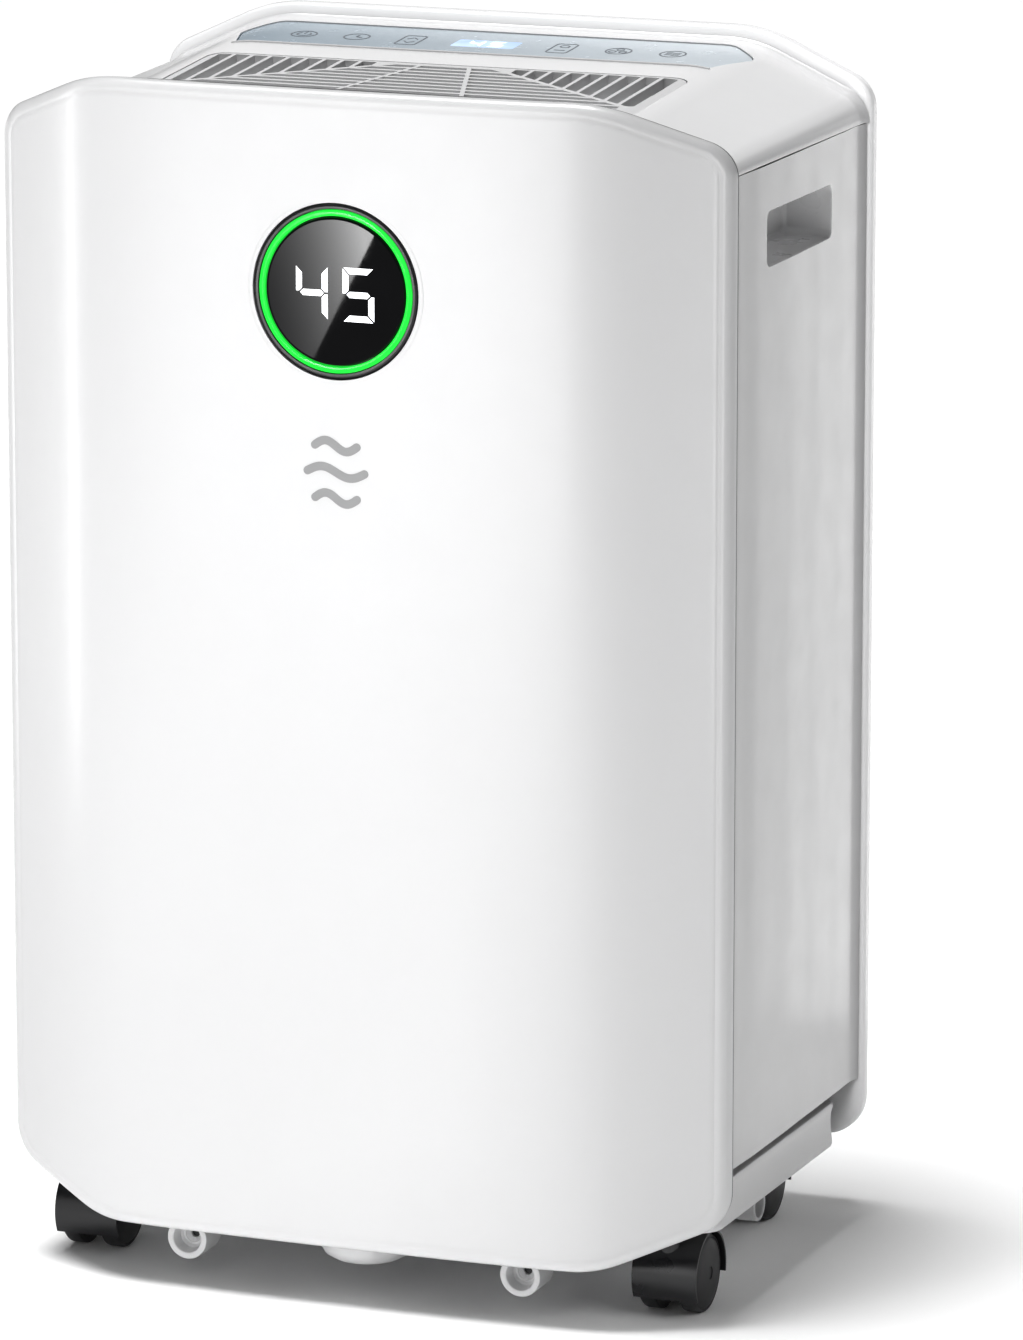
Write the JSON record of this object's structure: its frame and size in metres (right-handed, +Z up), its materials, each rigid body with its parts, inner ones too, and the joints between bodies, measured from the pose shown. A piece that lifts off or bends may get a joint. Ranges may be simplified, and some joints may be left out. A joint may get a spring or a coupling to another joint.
{
  "type": "dehumidifier",
  "caption": "Portable compressor dehumidifier: white faceted case, round lit display, fan-shaped top grille, rear filter and slide-out water tank, twin-wheel casters.",
  "frame": {"origin": "middle of the bounding box on the floor, between the four casters", "axes": "+Z up; the front panel faces -Y; +X is the right-hand side as seen from the front"},
  "size_m": [0.386, 0.282, 0.6185],
  "materials": {
    "shell": "satin gloss injection-moulded white",
    "trim": "fine satin white",
    "inner": "moulded mid grey",
    "strip": "glossy pale blue-grey touch strip",
    "lens": "polished black",
    "ring": "green light guide",
    "board": "solder-masked circuit board",
    "black_plastic": "satin black",
    "tread": "satin black, slightly softer",
    "rubber": "matte",
    "steel": "zinc-plated",
    "enamel": "black enamel",
    "copper": "drawn copper tube",
    "fins": "mill finish",
    "tank": "translucent smoke plastic",
    "mesh": "woven nylon filter"
  },
  "bodies": {
    "housing": {"front_panel": "shell", "display_housing": "lens", "display_ring": "ring", "display_lens": "lens", "display_board": "board", "top_cover": "shell", "top_grille": "trim", "control_panel": "strip", "control_board": "board", "side_panel_left": "shell", "side_panel_right": "shell", "back_shell": "shell", "power_inlet": "black_plastic", "base_tray": "trim", "bulkhead": "steel", "drip_tray": "inner", "condenser_coil": "fins", "evaporator_coil": "fins", "compressor": "enamel", "compressor_foot_1": "rubber", "compressor_foot_2": "rubber", "compressor_foot_3": "rubber", "accumulator": "enamel", "accumulator_pipe": "copper", "suction_pipe": "copper", "discharge_pipe": "copper", "fan_scroll": "inner", "fan_motor": "steel", "electrical_box": "steel", "run_capacitor": "fins", "humidity_sensor": "trim", "tank_switch": "black_plastic"},
    "fan": {"fan_shaft": "steel", "fan_impeller": "black_plastic"},
    "filter": {"filter_frame": "trim", "filter_mesh": "mesh"},
    "tank": {"water_tank": "tank", "tank_lid": "inner"},
    "float": {"tank_float": "trim"},
    "drain_plug": {"drain_cap": "rubber"},
    "caster_front_left": {"caster_stem_front_left": "steel", "caster_hood_front_left": "black_plastic", "axle_front_left": "steel"},
    "wheel_front_left_left": {"wheel_front_left_left": "tread"},
    "wheel_front_left_right": {"wheel_front_left_right": "tread"},
    "caster_front_right": {"caster_stem_front_right": "steel", "caster_hood_front_right": "black_plastic", "axle_front_right": "steel"},
    "wheel_front_right_left": {"wheel_front_right_left": "tread"},
    "wheel_front_right_right": {"wheel_front_right_right": "tread"},
    "caster_rear_left": {"caster_stem_rear_left": "steel", "caster_hood_rear_left": "black_plastic", "axle_rear_left": "steel"},
    "wheel_rear_left_left": {"wheel_rear_left_left": "tread"},
    "wheel_rear_left_right": {"wheel_rear_left_right": "tread"},
    "caster_rear_right": {"caster_stem_rear_right": "steel", "caster_hood_rear_right": "black_plastic", "axle_rear_right": "steel"},
    "wheel_rear_right_left": {"wheel_rear_right_left": "tread"},
    "wheel_rear_right_right": {"wheel_rear_right_right": "tread"}
  },
  "joints": [
    {"name": "fan_spin", "type": "hinge", "parent": "housing", "child": "fan", "pos_m": [0, -0.03, 0.44], "axis": [0, 1, 0], "continuous": true},
    {"name": "filter_slide", "type": "slide", "parent": "housing", "child": "filter", "axis": [0, 1, 0], "range_m": [0, 0.08]},
    {"name": "tank_slide", "type": "slide", "parent": "housing", "child": "tank", "axis": [0, 1, 0], "range_m": [0, 0.16]},
    {"name": "float_swing", "type": "hinge", "parent": "tank", "child": "float", "pos_m": [-0.098, 0.054, 0.26], "axis": [1, 0, 0], "range_deg": [-24, 10]},
    {"name": "drain_cap_pull", "type": "slide", "parent": "housing", "child": "drain_plug", "axis": [0, 1, 0], "range_m": [0, 0.03]},
    {"name": "front_left_swivel", "type": "hinge", "parent": "housing", "child": "caster_front_left", "pos_m": [-0.157, -0.09, 0.045], "axis": [0, 0, 1], "continuous": true},
    {"name": "wheel_front_left_left_spin", "type": "hinge", "parent": "caster_front_left", "child": "wheel_front_left_left", "pos_m": [-0.1684, -0.079, 0.02], "axis": [1, 0, 0], "continuous": true},
    {"name": "wheel_front_left_right_spin", "type": "hinge", "parent": "caster_front_left", "child": "wheel_front_left_right", "pos_m": [-0.1456, -0.079, 0.02], "axis": [1, 0, 0], "continuous": true},
    {"name": "front_right_swivel", "type": "hinge", "parent": "housing", "child": "caster_front_right", "pos_m": [0.157, -0.09, 0.045], "axis": [0, 0, 1], "continuous": true},
    {"name": "wheel_front_right_left_spin", "type": "hinge", "parent": "caster_front_right", "child": "wheel_front_right_left", "pos_m": [0.1456, -0.079, 0.02], "axis": [1, 0, 0], "continuous": true},
    {"name": "wheel_front_right_right_spin", "type": "hinge", "parent": "caster_front_right", "child": "wheel_front_right_right", "pos_m": [0.1684, -0.079, 0.02], "axis": [1, 0, 0], "continuous": true},
    {"name": "rear_left_swivel", "type": "hinge", "parent": "housing", "child": "caster_rear_left", "pos_m": [-0.132, 0.077, 0.045], "axis": [0, 0, 1], "continuous": true},
    {"name": "wheel_rear_left_left_spin", "type": "hinge", "parent": "caster_rear_left", "child": "wheel_rear_left_left", "pos_m": [-0.1434, 0.088, 0.02], "axis": [1, 0, 0], "continuous": true},
    {"name": "wheel_rear_left_right_spin", "type": "hinge", "parent": "caster_rear_left", "child": "wheel_rear_left_right", "pos_m": [-0.1206, 0.088, 0.02], "axis": [1, 0, 0], "continuous": true},
    {"name": "rear_right_swivel", "type": "hinge", "parent": "housing", "child": "caster_rear_right", "pos_m": [0.132, 0.077, 0.045], "axis": [0, 0, 1], "continuous": true},
    {"name": "wheel_rear_right_left_spin", "type": "hinge", "parent": "caster_rear_right", "child": "wheel_rear_right_left", "pos_m": [0.1206, 0.088, 0.02], "axis": [1, 0, 0], "continuous": true},
    {"name": "wheel_rear_right_right_spin", "type": "hinge", "parent": "caster_rear_right", "child": "wheel_rear_right_right", "pos_m": [0.1434, 0.088, 0.02], "axis": [1, 0, 0], "continuous": true}
  ]
}
